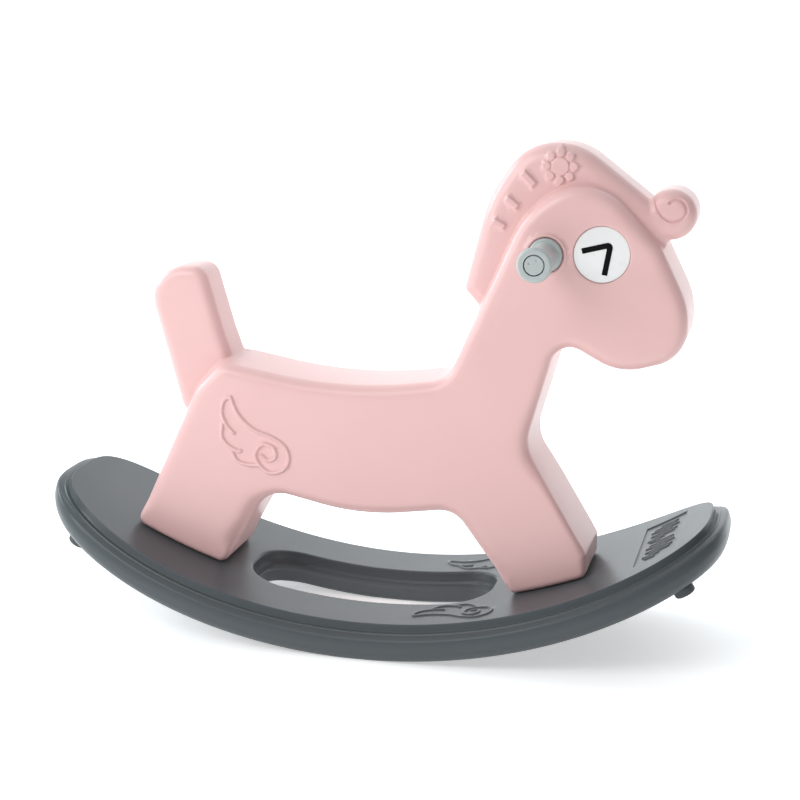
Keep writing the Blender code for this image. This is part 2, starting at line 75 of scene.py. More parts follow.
EYE_CENTRE, EYE_RADIUS = (0.2290, 0.4194), 0.0285
EYE_RECESS = 0.0028
EYE_RECESS_RADIUS = EYE_RADIUS + 0.0004
EYE_LIP, EYE_LIP_WIDTH = 0.0004, 0.0012      # the cheek dips a little round the recess
STEP_MARGIN = 0.00005                        # keeps a step off the points that lie on its edge
HANDLE_CENTRE = (0.1727, 0.4166)

# Corners (x, z, rounding radius), anticlockwise in the side view.
TRUNK_UPPER = (
    (0.2245, 0.1048, 0.006),    # toe of the front foot
    (0.1560, 0.2154, 0.043),    # chest
    (0.1872, 0.3310, 0.020),    # throat
    (0.2504, 0.2974, 0.060),    # jaw
    (0.3136, 0.3162, 0.040),    # chin
    (0.3194, 0.3650, 0.080),    # nose
    (0.2873, 0.4280, 0.030),    # forehead
    (0.2157, 0.5020, 0.056),    # crown
    (0.1489, 0.4600, 0.100),    # nape
    (0.0723, 0.2795, 0.033),    # withers
    (-0.0383, 0.2615, 0.480),   # seat
    (-0.1733, 0.2845, 0.022),   # croup
    (-0.2013, 0.2540, 0.060),   # rump
)
TRUNK_LOWER = (
    (-0.1228, 0.1478, 0.034),   # stifle
    (-0.0183, 0.1262, 0.260),   # belly
    (0.0827, 0.1412, 0.030),    # elbow
)
TAIL = (
    (-0.2033, 0.2000, 0.004),
    (-0.1533, 0.2500, 0.004),
    (-0.1433, 0.2791, 0.001),
    (-0.1661, 0.2836, 0.010),   # hollow corner where the tail leaves the croup
    (-0.1768, 0.3120, 0.120),
    (-0.1983, 0.3828, 0.017),
    (-0.2675, 0.3785, 0.037),
    (-0.2245, 0.2310, 0.030),
)
MANE = (
    (0.1047, 0.3518, 0.004),
    (0.2567, 0.4000, 0.010),
    (0.2892, 0.4262, 0.004),
    (0.2977, 0.4385, 0.006),
    (0.2927, 0.4600, 0.006),
    (0.2728, 0.4728, 0.006),
    (0.1930, 0.5327, 0.066),
    (0.1414, 0.5190, 0.053),
    (0.1086, 0.4704, 0.150),
    (0.0850, 0.3735, 0.005),
)

# ---------------------------------------------------------------- reliefs
# A wing's raised lines: each is a smooth curve through its points, in millimetres from the middle.
WING = (
    ((-27, 40), (-18.5, 21.5), (-1.5, 6.5), (19.5, -1), (34, -11), (37.5, -25.5), (30, -36.5),
     (16, -39.5), (5.5, -32), (0.5, -20), (8.5, -9), (20.5, -12), (23, -21.5), (15.5, -26.5), (7.5, -21.5)),
    ((-27, 40), (-34, 36.5), (-37, 23), (-31.5, 9), (-23.5, 1)),
    ((-36, 11.5), (-37, -3), (-31, -12), (-20.5, -18), (-16, -18)),
    ((-25.5, -19), (-19.5, -29), (-7, -32.5), (5.5, -32)),
)
FLANK_WING_CENTRE = (-0.1333, 0.208)
FLANK_WING_HEIGHT, FLANK_WING_HALF_WIDTH = 0.0025, 0.0027
BASE_WING_CENTRE = (0.0947, 0.092)
BASE_WING_SCALE = 0.85
BASE_WING_TURN = math.radians(50)
BASE_WING_HEIGHT, BASE_WING_HALF_WIDTH = 0.0013, 0.0024

FLOWER_CENTRE = (0.1824, 0.5045)
FLOWER_DISC = 0.0098
PETALS = 8
PETAL_REACH, PETAL_RADIUS = 0.0139, 0.0052
PETAL_TIP = 0.0030              # how far the top petal's point stands out
FLOWER_HEIGHT = 0.0022

# Mane bars: middle x, z, length, width, slope in degrees.
MANE_BARS = (
    (0.1504, 0.4907, 0.0190, 0.0086, -43.7),
    (0.1344, 0.4662, 0.0168, 0.0080, -36.3),
    (0.1219, 0.4440, 0.0152, 0.0074, -27.3),
)
BAR_HEIGHT, BAR_CORNER = 0.0030, 0.0022
RELIEF_EDGE = 0.0016            # width of the slope round the flower and the bars

# The curl's groove: a smooth curve through its points, from the curl's centre in millimetres.
SPIRAL = (
    (-16.4, 18.7), (-15.1, 11.0), (-11.4, 3.0), (-5.9, -2.6), (0.1, -5.3), (6.6, -5.0), (11.3, -2.6),
    (14.6, 1.6), (15.3, 6.8), (13.0, 12.2), (8.4, 15.6), (3.0, 15.4), (-1.2, 12.6),
)
SPIRAL_DEPTH, SPIRAL_HALF_WIDTH = 0.0020, 0.0020

SEAT_RING_INNER, SEAT_RING_OUTER = 0.0181, 0.0216   # raised ring round the handle
SEAT_RING_HEIGHT = 0.0016
SEAT_FLOOR = 0.0010                                 # the handle's flange stands this deep

# The front panel on the base's top, as seen from above.
PANEL = (0.2757, 0.3187, -0.0710, 0.0680)
PANEL_DEPTH = 0.0014
# Its bars, over and over: distance from the panel's rear edge, and length.
PANEL_BARS = (
    (0.009, 0.011), (0.006, 0.018), (0.012, 0.022), (0.008, 0.028),
    (0.014, 0.016), (0.007, 0.030), (0.010, 0.024), (0.016, 0.019),
)
PANEL_BAR_ROUNDS = 2
PANEL_BAR_START, PANEL_BAR_STEP, PANEL_BAR_WIDTH = 0.0155, 0.0072, 0.0034    # across the panel
PANEL_BAR_HEIGHT = 0.0012
PANEL_EDGE = 0.0008             # width of the slope round the panel and its bars


# ---------------------------------------------------------------- plane geometry
def rounded(corners, inset=0.0, turn_step=math.radians(6), spacing=None, closed=True):
    """Points of a rounded outline, moved inwards by inset, with its straights split by spacing."""
    count = len(corners)
    lines = []
    for i, (x, z, _) in enumerate(corners):
        far = corners[(i + 1) % count]
        direction = Vector((far[0] - x, far[1] - z)).normalized()
        inwards = Vector((-direction.y, direction.x))
        lines.append((Vector((x, z)) + inwards * inset, direction))
    points = []
    for i, (x, z, radius) in enumerate(corners):
        if not closed and i in (0, count - 1):
            points.append(Vector((x, z)))
            continue
        start, before = lines[i - 1]
        end, after = lines[i]
        turn = math.atan2(before.cross(after), before.dot(after))
        if abs(turn) < 1e-6 or radius == 0:
            points.append(Vector((x, z)))
            continue
        corner = start + before * ((end - start).cross(after) / before.cross(after))
        arc = max(radius - math.copysign(inset, turn), 0.0003)
        tangent = arc * math.tan(abs(turn) / 2)
        centre = corner - before * tangent + before.orthogonal() * math.copysign(arc, turn)
        steps = max(2, math.ceil(abs(turn) / turn_step))
        if spacing:
            steps = max(steps, math.ceil(arc * abs(turn) / spacing))
        spoke = corner - before * tangent - centre
        for k in range(steps + 1):
            cos, sin = math.cos(turn * k / steps), math.sin(turn * k / steps)
            points.append(centre + Vector((spoke.x * cos - spoke.y * sin, spoke.x * sin + spoke.y * cos)))
    loop = np.array([tuple(point) for point in points])
    return split_edges(loop, spacing, closed) if spacing else loop


def split_edges(loop, spacing, closed=True):
    """The same loop with its long edges split evenly."""
    points = []
    last = len(loop) if closed else len(loop) - 1
    for i in range(last):
        start, end = loop[i], loop[(i + 1) % len(loop)]
        pieces = max(1, math.ceil(np.hypot(*(end - start)) / spacing))
        points += [start + (end - start) * k / pieces for k in range(pieces)]
    if not closed:
        points.append(loop[-1])
    return np.array(points)


def circle(centre, radius, count):
    angles = np.arange(count) * math.tau / count
    return np.column_stack((centre[0] + radius * np.cos(angles), centre[1] + radius * np.sin(angles)))


def depth_inside(points, loop):
    """Distance of each point to a closed loop, positive inside it."""
    nearest = np.full(len(points), 1e9)
    inside = np.zeros(len(points), bool)
    x, z = points[:, 0], points[:, 1]
    for start, end in zip(loop, np.roll(loop, -1, 0)):
        edge = end - start
        length = edge @ edge
        if length < 1e-14:
            continue
        away_x, away_z = x - start[0], z - start[1]
        share = np.clip((away_x * edge[0] + away_z * edge[1]) / length, 0, 1)
        nearest = np.minimum(nearest, (away_x - share * edge[0]) ** 2 + (away_z - share * edge[1]) ** 2)
        if edge[1] != 0:
            crossed = (start[1] > z) != (end[1] > z)
            inside ^= crossed & (away_x < away_z * edge[0] / edge[1])
    return np.where(inside, 1, -1) * np.sqrt(nearest)


def distance_to(points, path):
    """Distance of each point to an open path."""
    nearest = np.full(len(points), 1e9)
    for start, end in zip(path, path[1:]):
        edge = end - start
        offset = points - start
        share = np.clip(offset @ edge / max(edge @ edge, 1e-14), 0, 1)
        nearest = np.minimum(nearest, ((offset - share[:, None] * edge) ** 2).sum(1))
    return np.sqrt(nearest)


def smooth_curve(points, steps=8):
    """A Catmull-Rom curve through the points."""
    points = np.array(points, float)
    padded = np.vstack((2 * points[0] - points[1], points, 2 * points[-1] - points[-2]))
    curve = []
    for a, b, c, d in zip(padded, padded[1:], padded[2:], padded[3:]):
        for k in range(steps):
            t = k / steps
            curve.append(0.5 * (2 * b + (c - a) * t + (2 * a - 5 * b + 4 * c - d) * t ** 2
                                + (3 * b - a - 3 * c + d) * t ** 3))
    curve.append(padded[-2])
    return np.array(curve)


def ease(low, high, values):
    """0 below low, 1 above high, and smooth between them."""
    share = np.clip((values - low) / (high - low), 0, 1)
    return share * share * (3 - 2 * share)


def smooth_max(a, b, radius):
    """The larger of two heights, with a hollow fillet where they are nearly equal."""
    near = np.clip(1 - np.abs(a - b) / radius, 0, 1)
    return np.maximum(a, b) + near * near * radius / 4


def ridge(distance, half_width, height):
    return height * ease(0, 0.7, 1 - distance / half_width)


def hex_grid(low, high, spacing):
    """Points of a triangular grid in a box."""
    rows = np.arange(low[1], high[1], spacing * math.sqrt(3) / 2)
    points = []
    for i, z in enumerate(rows):
        x = np.arange(low[0] + (i % 2) * spacing / 2, high[0], spacing)
        points.append(np.column_stack((x, np.full(len(x), z))))
    return np.vstack(points)


def runs(chain, kept, closed):
    """The stretches of a chain whose points are kept, each with whether it is still a closed loop."""
    if kept.all():
        return [(chain, closed)]
    if closed:
        start = int(np.argmin(kept))
        chain, kept = np.roll(chain, -start, 0), np.roll(kept, -start)
    found, run = [], []
    for point, keep in zip(chain, kept):
        if keep:
            run.append(point)
        elif run:
            found.append((np.array(run), False))
            run = []
    if run:
        found.append((np.array(run), False))
    return [part for part in found if len(part[0]) > 1]


def triangulated(chains, scattered, keep):
    """Triangles over a plane region. Chains stay edges; keep chooses triangles by their centres."""
    points, edges = [], []
    for chain, closed in chains:
        first, count = len(points), len(chain)
        points.extend(map(tuple, chain))
        edges += [(first + i, first + i + 1) for i in range(count - 1)]
        if closed:
            edges.append((first + count - 1, first))
    points.extend(map(tuple, scattered))
    result = geometry.delaunay_2d_cdt([Vector(point) for point in points], edges, [], 0, GRID_MERGE)
    flat = np.array([tuple(point) for point in result[0]])
    triangles = np.array([tuple(face) for face in result[2]])
    corners = flat[triangles]
    edge_a, edge_b = corners[:, 1] - corners[:, 0], corners[:, 2] - corners[:, 0]
    area = edge_a[:, 0] * edge_b[:, 1] - edge_a[:, 1] * edge_b[:, 0]
    triangles[area < 0] = triangles[area < 0][:, ::-1]
    return flat, triangles[keep(corners.mean(1)) & (np.abs(area) > 1e-12)]


def border(triangles):
    """The triangles' outer edges, each running as its triangle does."""
    seen = {}
    for a, b, c in triangles:
        for edge in ((a, b), (b, c), (c, a)):
            seen[edge] = True
    return [edge for edge in seen if (edge[1], edge[0]) not in seen]


# ---------------------------------------------------------------- meshes
def joined(name, parts, finish, sharp_angle=None):
    """One object from several lists of points and faces, welded where they meet."""
    points, faces = [], []
    for part_points, part_faces in parts:
        first = len(points)
        points.extend(map(tuple, part_points))
        faces.extend(tuple(first + int(i) for i in face) for face in part_faces)
    mesh = bpy.data.meshes.new(name)
    mesh.from_pydata(points, [], faces)
    bm = bmesh.new()
    bm.from_mesh(mesh)
    bmesh.ops.remove_doubles(bm, verts=bm.verts, dist=WELD_DISTANCE)
    bmesh.ops.recalc_face_normals(bm, faces=bm.faces)
    bm.to_mesh(mesh)
    bm.free()
    mesh.shade_smooth()
    if sharp_angle is not None:
        mesh.set_sharp_from_angle(angle=sharp_angle)
    mesh.materials.append(finish)
    obj = bpy.data.objects.new(name, mesh)
    bpy.context.collection.objects.link(obj)
    return obj


def strips(rings, closed_ring=True):
    """Quads between successive rings of equal point counts."""
    count = len(rings[0])
    points = np.vstack(rings)
    faces = []
    for r in range(len(rings) - 1):
        for i in range(count if closed_ring else count - 1):
            j = (i + 1) % count
            faces.append((r * count + i, r * count + j, (r + 1) * count + j, (r + 1) * count + i))
    return points, faces


def turned(profile, count=96):
    """A surface turned round Z from (radius, height) points."""
    angles = np.arange(count) * math.tau / count
    rings = [
        np.column_stack((radius * np.cos(angles), radius * np.sin(angles), np.full(count, height)))
        for radius, height in profile
    ]
    return strips(rings)


def capped(points, faces, count, last=True):
    """Closes a turned surface's last or first ring with one face."""
    ring = range(len(points) - count, len(points)) if last else range(count - 1, -1, -1)
    return points, faces + [tuple(ring)]


def beside(obj, side, centre):
    """Turns a piece made round Z so that its +Z points outwards on one side of the horse."""
    turn = Matrix.Rotation(-side * math.pi / 2, 4, "X")
    obj.data.transform(Matrix.Translation((centre[0], 0, centre[1])) @ turn)


# ---------------------------------------------------------------- materials
def noise(tree, coordinates, scale, detail):
    node = tree.nodes.new("ShaderNodeTexNoise")
    node.inputs["Scale"].default_value = scale
    node.inputs["Detail"].default_value = detail
    tree.links.new(coordinates, node.inputs["Vector"])
    return node.outputs["Fac"]


def ramp(tree, value, low, high, low_colour, high_colour):
    """A colour or grey level that runs from one value to another."""
    node = tree.nodes.new("ShaderNodeMapRange")
    node.inputs["From Min"].default_value = low
    node.inputs["From Max"].default_value = high
    tree.links.new(value, node.inputs["Value"])
    if isinstance(low_colour, float):
        node.inputs["To Min"].default_value = low_colour
        node.inputs["To Max"].default_value = high_colour
        return node.outputs["Result"]
    mix = tree.nodes.new("ShaderNodeMix")
    mix.data_type = "RGBA"
    mix.inputs["A"].default_value = (*low_colour, 1)
    mix.inputs["B"].default_value = (*high_colour, 1)
    tree.links.new(node.outputs["Result"], mix.inputs["Factor"])
    return mix.outputs["Result"]


def moulded(name, light, dark, roughness, grain=900, grain_depth=0.00004, metallic=0.0, specular=0.5):
    """Moulded plastic, rubber or plated metal: faint clouds of tone, uneven gloss and a fine grain."""
    made = bpy.data.materials.new(name)
    made.use_nodes = True
    tree = made.node_tree
    shader = tree.nodes["Principled BSDF"]
    place = tree.nodes.new("ShaderNodeTexCoord").outputs["Object"]
    clouds = noise(tree, place, 9, 3)
    tree.links.new(ramp(tree, clouds, 0.3, 0.7, dark, light), shader.inputs["Base Color"])
    smudges = noise(tree, place, 38, 5)
    uneven = ramp(tree, smudges, 0.3, 0.75, roughness * 0.96, roughness * 1.05)
    tree.links.new(uneven, shader.inputs["Roughness"])
    shader.inputs["Metallic"].default_value = metallic
    shader.inputs["Specular IOR Level"].default_value = specular
    bump = tree.nodes.new("ShaderNodeBump")
    bump.inputs["Strength"].default_value = 0.35
    bump.inputs["Distance"].default_value = grain_depth
    tree.links.new(noise(tree, place, grain, 2), bump.inputs["Height"])
    tree.links.new(bump.outputs["Normal"], shader.inputs["Normal"])
    return made


PINK = moulded("pink_polyethylene", (0.87, 0.555, 0.538), (0.85, 0.535, 0.518), 0.31, 500, 0.000008)
SLATE = moulded("slate_polyethylene", (0.086, 0.099, 0.106), (0.083, 0.095, 0.102), 0.29, 500, 0.000003,
                specular=0.28)
GRIP = moulded("grey_green_plastic", (0.50, 0.545, 0.535), (0.48, 0.525, 0.515), 0.30, 1400, 0.00001)
WHITE = moulded("white_plastic", (0.93, 0.93, 0.925), (0.92, 0.92, 0.915), 0.28, 1400, 0.00001)
BLACK = moulded("black_print", (0.006, 0.006, 0.006), (0.004, 0.004, 0.004), 0.70, 1400, 0.00001,
                specular=0.1)
RUBBER = moulded("slate_rubber", (0.072, 0.082, 0.088), (0.064, 0.073, 0.079), 0.60, 700, 0.00006)
STEEL = moulded("zinc_plated_steel", (0.60, 0.61, 0.63), (0.52, 0.53, 0.56), 0.32, 600, 0.00003, 1.0)
BRASS = moulded("turned_brass", (0.80, 0.60, 0.28), (0.72, 0.52, 0.22), 0.30, 600, 0.00003, 1.0)


# ---------------------------------------------------------------- horse: plates and reliefs
def sole_corners(heel, toe, rounding):
    """A foot's sole on the base's arc: the arc's corner, and a straight end on either side."""
    radius = ROCKER_RADIUS - SOLE_GAP
    centre_z = BASE_THICKNESS + ROCKER_RADIUS
    start = math.asin(heel / radius) + SOLE_END / radius
    end = math.asin(toe / radius) - SOLE_END / radius
    middle = (start + end) / 2
    corners = []
    for angle, distance, outwards, corner_radius in (
        (start, radius, -SOLE_END, rounding),
        (middle, radius / math.cos((end - start) / 2), 0.0, radius),
        (end, radius, SOLE_END, rounding),
    ):
        x = distance * math.sin(angle) + outwards * math.cos(angle)
        z = centre_z - distance * math.cos(angle) + outwards * math.sin(angle)
        corners.append((x, z, corner_radius))
    return corners


TRUNK = (*sole_corners(*REAR_FOOT, 0.010), *TRUNK_LOWER, *sole_corners(*FRONT_FOOT, 0.008), *TRUNK_UPPER)
TRUNK_LOOP, TAIL_LOOP, MANE_LOOP = (
    rounded(corners, turn_step=math.radians(1.5), spacing=0.003) for corners in (TRUNK, TAIL, MANE)
)
CURL_LOOP = circle(CURL_CENTRE, CURL_RADIUS, 180)

# Places where the trunk's rounding differs: x, z, reach and rounding radius.
FILLET_SPOTS = (
    (0.2087, 0.150, 0.075, 0.0065),      # front of the front leg
    (0.1687, 0.290, 0.050, 0.010),       # front of the neck
    (-0.1533, 0.100, 0.060, 0.019),      # front of the rear leg
)
SOLE_FILLET = 0.0065
SOLE_BLEND = (0.008, 0.030)     # heights over which the sole's rounding becomes the trunk's
SKIRT_SLOPE = 4.0
CREASE = 0.0055


def trunk_fillet(points):
    """The trunk's rounding radius at each point: small at the soles, larger on some edges."""
    fillet = np.full(len(points), TRUNK_FILLET)
    for x, z, reach, radius in FILLET_SPOTS:
        away = np.hypot(points[:, 0] - x, points[:, 1] - z) / reach
        fillet += (radius - fillet) * ease(0, 0.6, 1 - away)
    centre_z = BASE_THICKNESS + ROCKER_RADIUS
    above_base = ROCKER_RADIUS - np.hypot(points[:, 0], points[:, 1] - centre_z)
    return SOLE_FILLET + (fillet - SOLE_FILLET) * ease(*SOLE_BLEND, above_base)


def plate_height(depth, half_width, fillet):
    """Half the thickness of a plate with a rounded rim, and a steep skirt outside its outline."""
    inside = np.clip(depth, 0, fillet)
    rim = np.sqrt(np.maximum(fillet ** 2 - (fillet - inside) ** 2, 0))
    return half_width - fillet + rim + np.minimum(depth, 0) * SKIRT_SLOPE


def wing_paths(centre, scale=1.0, turn=0.0, flip=1):
    cos, sin = math.cos(turn), math.sin(turn)
    turned_axes = np.array(((cos, flip * sin), (-sin, flip * cos))) * scale * MM
    return [smooth_curve(stroke) @ turned_axes + centre for stroke in WING]


FLANK_WING = wing_paths(FLANK_WING_CENTRE)
BASE_WINGS = [
    wing_paths((BASE_WING_CENTRE[0], side * BASE_WING_CENTRE[1]), BASE_WING_SCALE, BASE_WING_TURN, side)
    for _, side in SIDES
]


SPIRAL_PATH = smooth_curve(SPIRAL) * MM + CURL_CENTRE


def wing_relief(points, paths, half_width, height):
    distance = np.min([distance_to(points, path) for path in paths], axis=0)
    return ridge(distance, half_width, height)


def flower_relief(points):
    """A round middle in a ring of petals, the top one pointed."""
    x, z = points[:, 0] - FLOWER_CENTRE[0], points[:, 1] - FLOWER_CENTRE[1]
    reach = np.hypot(x, z)
    relief = FLOWER_HEIGHT * ease(0, RELIEF_EDGE, FLOWER_DISC - reach)
    for k in range(PETALS):
        angle = math.pi / 2 + k * math.tau / PETALS
        away = np.hypot(x - PETAL_REACH * math.cos(angle), z - PETAL_REACH * math.sin(angle))
        relief = np.maximum(relief, FLOWER_HEIGHT * ease(0, RELIEF_EDGE, PETAL_RADIUS - away))
    tip = np.hypot(x * 1.6, z - PETAL_REACH - PETAL_TIP)
    return np.maximum(relief, FLOWER_HEIGHT * ease(0, RELIEF_EDGE, PETAL_RADIUS - tip))


def bar_relief(points):
    relief = np.zeros(len(points))
    corner = BAR_CORNER
    for x, z, length, width, slope in MANE_BARS:
        cos, sin = math.cos(math.radians(slope)), math.sin(math.radians(slope))
        along = np.abs((points[:, 0] - x) * cos + (points[:, 1] - z) * sin) - length / 2 + corner
        across = np.abs((points[:, 1] - z) * cos - (points[:, 0] - x) * sin) - width / 2 + corner
        outside = np.hypot(np.maximum(along, 0), np.maximum(across, 0)) - corner
        outside += np.minimum(np.maximum(along, across), 0)
        relief = np.maximum(relief, BAR_HEIGHT * ease(0, RELIEF_EDGE, -outside))
    return relief


def seat_relief(points):
    """The raised ring round the handle, and the seat inside it."""
    reach = np.hypot(points[:, 0] - HANDLE_CENTRE[0], points[:, 1] - HANDLE_CENTRE[1])
    middle = (SEAT_RING_INNER + SEAT_RING_OUTER) / 2
    half = (SEAT_RING_OUTER - SEAT_RING_INNER) / 2
    ring = SEAT_RING_HEIGHT * np.sqrt(np.clip(1 - ((reach - middle) / half) ** 2, 0, 1))
    return np.where(reach < SEAT_RING_INNER - STEP_MARGIN, -SEAT_FLOOR, ring)


def eye_relief(points):
    reach = np.hypot(points[:, 0] - EYE_CENTRE[0], points[:, 1] - EYE_CENTRE[1])
    lip = -EYE_LIP * ease(EYE_RECESS_RADIUS + EYE_LIP_WIDTH, EYE_RECESS_RADIUS, reach)
    return np.where(reach < EYE_RECESS_RADIUS - STEP_MARGIN, -EYE_RECESS, lip)


def horse_height(points):
    """Half the horse's thickness at each point of the side view, reliefs included."""
    trunk = plate_height(depth_inside(points, TRUNK_LOOP), TRUNK_HALF_WIDTH, trunk_fillet(points))
    tail = plate_height(depth_inside(points, TAIL_LOOP), TAIL_HALF_WIDTH, TAIL_FILLET)
    mane = plate_height(depth_inside(points, MANE_LOOP), MANE_HALF_WIDTH, MANE_FILLET)
    curl = plate_height(depth_inside(points, CURL_LOOP), CURL_HALF_WIDTH, CURL_FILLET)
    groove = ridge(distance_to(points, SPIRAL_PATH), SPIRAL_HALF_WIDTH, SPIRAL_DEPTH)
    crest = smooth_max(mane, curl, 0.003) - groove + flower_relief(points) + bar_relief(points)
    height = smooth_max(smooth_max(trunk, tail, CREASE), crest, CREASE)
    height += wing_relief(points, FLANK_WING, FLANK_WING_HALF_WIDTH, FLANK_WING_HEIGHT)
    return height + seat_relief(points) + eye_relief(points)


# ---------------------------------------------------------------- horse: mesh
RINGS = (0.0, 0.00012, 0.0005, 0.0011, 0.0020, 0.0032, 0.0047, 0.0066, 0.0092, 0.0130)
CREASE_RINGS = (-0.0006, -0.0013, -0.0021, -0.0032, -0.0048, -0.0070)
RING_SPACING = 0.0032
CREASE_COVER = 0.0004           # how far inside another plate a crease ring has to run
# A ring of the tail, mane or curl stops this far inside the trunk (outline) or short of it (other rings).
OUTLINE_OVERLAP, RING_MARGIN = 0.002, 0.0005
COARSE, FINE = 0.0055, 0.0008
# The flat stretches: this deep in the trunk, or this far outside it and this deep in another plate.
PLAIN_TRUNK, PLAIN_OUTSIDE, PLAIN_OTHERS = 0.0150, 0.0085, 0.0110
# Corners of the grids in the side view: the whole horse, and the fine ones over its reliefs.
HORSE_BOX = ((-0.30, 0.03), (0.35, 0.55))
WING_BOX = ((-0.178, 0.160), (-0.088, 0.255))
FLOWER_BOX = ((0.162, 0.484), (0.204, 0.526))
BARS_BOX = ((0.110, 0.434), (0.163, 0.502))
CURL_BOX = ((0.265, 0.433), (0.323, 0.487))
SEAM = 0.0008                   # half the width of the flat strip along the outline's middle


def horse_chains():
    """Outline rings of every plate, without the stretches that another plate hides."""
    chains = []
    for depth in (*CREASE_RINGS, *RINGS):
        ring = rounded(TRUNK, depth, spacing=RING_SPACING)
        if depth < 0:
            over = np.maximum.reduce([depth_inside(ring, loop) for loop in (TAIL_LOOP, MANE_LOOP, CURL_LOOP)])
            chains += runs(ring, over > CREASE_COVER, True)
        else:
            chains.append((ring, True))
    for depth in RINGS:
        others = (
            (rounded(TAIL, depth, spacing=RING_SPACING), ()),
            (rounded(MANE, depth, spacing=RING_SPACING), (CURL_LOOP,)),
            (circle(CURL_CENTRE, CURL_RADIUS - depth, 84), (MANE_LOOP,)),
        )
        for ring, covers in others:
            hidden = depth_inside(ring, TRUNK_LOOP) > (OUTLINE_OVERLAP if depth == 0 else -RING_MARGIN)
            for cover in covers:
                hidden |= depth_inside(ring, cover) > RING_MARGIN + depth
            chains += runs(ring, ~hidden, True)
    return chains


def near_paths(points, paths, reach):
    return np.min([distance_to(points, path) for path in paths], axis=0) < reach


def horse_scatter():
    """Wide-set points on the plain flanks, and close ones over the reliefs."""
    grid = hex_grid(*HORSE_BOX, COARSE)
    trunk = depth_inside(grid, TRUNK_LOOP)
    others = np.maximum.reduce([depth_inside(grid, loop) for loop in (TAIL_LOOP, MANE_LOOP, CURL_LOOP)])
    plain = (trunk > PLAIN_TRUNK) | ((trunk < -PLAIN_OUTSIDE) & (others > PLAIN_OTHERS))
    spots = [grid[plain]]
    wing = hex_grid(*WING_BOX, FINE)
    spots.append(wing[near_paths(wing, FLANK_WING, FLANK_WING_HALF_WIDTH + FINE)])
    flower = hex_grid(*FLOWER_BOX, FINE)
    spots.append(flower[flower_relief(flower) > 0])
    bars = hex_grid(*BARS_BOX, FINE)
    spots.append(bars[bar_relief(bars) > 0])
    curl = hex_grid(*CURL_BOX, FINE)
    on_groove = near_paths(curl, [SPIRAL_PATH], SPIRAL_HALF_WIDTH + FINE)
    spots.append(curl[on_groove & (depth_inside(curl, CURL_LOOP) > 0)])
    return np.vstack(spots)


def relief_rings():
    """Circles round the eye and the handle, and lines along the wing and the curl's groove."""
    chains = []
    for outside in (-0.0001, 0.0, 0.0004, 0.0008, 0.0014):
        chains.append((circle(EYE_CENTRE, EYE_RECESS_RADIUS + outside, 144), True))
    half = (SEAT_RING_OUTER - SEAT_RING_INNER) / 2
    for k in range(9):
        radius = SEAT_RING_INNER + half * (1 - math.cos(math.pi * k / 8))
        chains.append((circle(HANDLE_CENTRE, radius, 96), True))
    chains.append((circle(HANDLE_CENTRE, SEAT_RING_INNER - 0.0001, 96), True))
    chains += [(path, False) for path in FLANK_WING]
    chains.append((SPIRAL_PATH, False))
    return chains


def horse_body():
    """Both flanks from one height field, joined by the wall along the outline."""
    loops = (TRUNK_LOOP, TAIL_LOOP, MANE_LOOP, CURL_LOOP)

    def keep(centres):
        return np.maximum.reduce([depth_inside(centres, loop) for loop in loops]) > 0

    flat, triangles = triangulated(horse_chains() + relief_rings(), horse_scatter(), keep)
    height = horse_height(flat)
    left = np.column_stack((flat[:, 0], height, flat[:, 1]))
    right = left * (1, -1, 1)
    edges = border(triangles)
    wall_points, wall_faces = [], []
    for a, b in edges:
        first = len(wall_points)
        for i in (a, b):
            top = left[i]
            wall_points += [top, (top[0], SEAM, top[2]), (top[0], -SEAM, top[2]), top * (1, -1, 1)]
        for k in range(3):
            wall_faces.append((first + k, first + k + 1, first + k + 5, first + k + 4))
    parts = [(left, triangles[:, ::-1]), (right, triangles), (wall_points, wall_faces)]
    horse = joined("horse_body", parts, PINK)
    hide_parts("horse_shell")
    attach(horse, "horse")


# ---------------------------------------------------------------- rocker base
# The rim outwards from the plateau's edge: offset, depth below the top surface, rounding.
RIM = (
    (-0.0012, 0.0000, 0.0),
    (0.0006, 0.0000, 0.0012),
    (0.0018, 0.0050, 0.0008),
    (0.0028, 0.0076, 0.0008),
    (0.0050, 0.0078, 0.0014),
    (0.0068, 0.0078, 0.0010),
    (0.0078, 0.0096, 0.0005),
    (0.0086, 0.0096, 0.0006),
    (0.0148, 0.0124, 0.0064),
    (0.0166, 0.0230, 0.0120),
    (0.0150, 0.0305, 0.0100),
    (0.0106, FLOOR_DEPTH, 0.0055),
    (0.0040, FLOOR_DEPTH, 0.0),
)
# The slot's wall from the top surface down: offset into the slot, depth, rounding.
SLOT_WALL = (
    (-0.0045, 0.0000, 0.0),
    (0.0000, 0.0000, 0.0028),
    (0.0000, 0.0100, 0.0060),
    (0.0024, 0.0140, 0.0040),
    (0.0024, 0.0185, 0.0040),
    (0.0000, 0.0225, 0.0060),
    (0.0000, 0.0358, 0.0045),
    (-0.0060, 0.0358, 0.0),
)
RIM_LEAN = 0.26                 # 0 is straight down, 1 square to the arc
AROUND_SPACING = 0.0040
TOP_GRID, FLOOR_GRID = 0.010, 0.016
BASE_BOX = ((-0.38, -0.13), (0.38, 0.13))       # corners of both grids
EDGE_CLEAR = 0.003              # no grid point stands nearer to an edge
# Outlines of the panel and its bars: distance inside their edge, and spacing of their points.
PANEL_RINGS = (-0.0012, -0.0005, 0.0, 0.0004, 0.0008, 0.0014)
PANEL_SPACING = 0.002
BASE_WING_REACH, BASE_FINE = 0.06, FINE * 1.1
BOLT_POINTS = ((-0.2180, -0.026), (-0.2180, 0.026), (0.1880, -0.026), (0.1880, 0.026))
COUNTERBORE_RADIUS, BOSS_FLOOR = 0.0095, 0.0080
COUNTERBORE_DEPTH = FLOOR_DEPTH - 0.001     # the bolts are square to the arc: here they stand further out


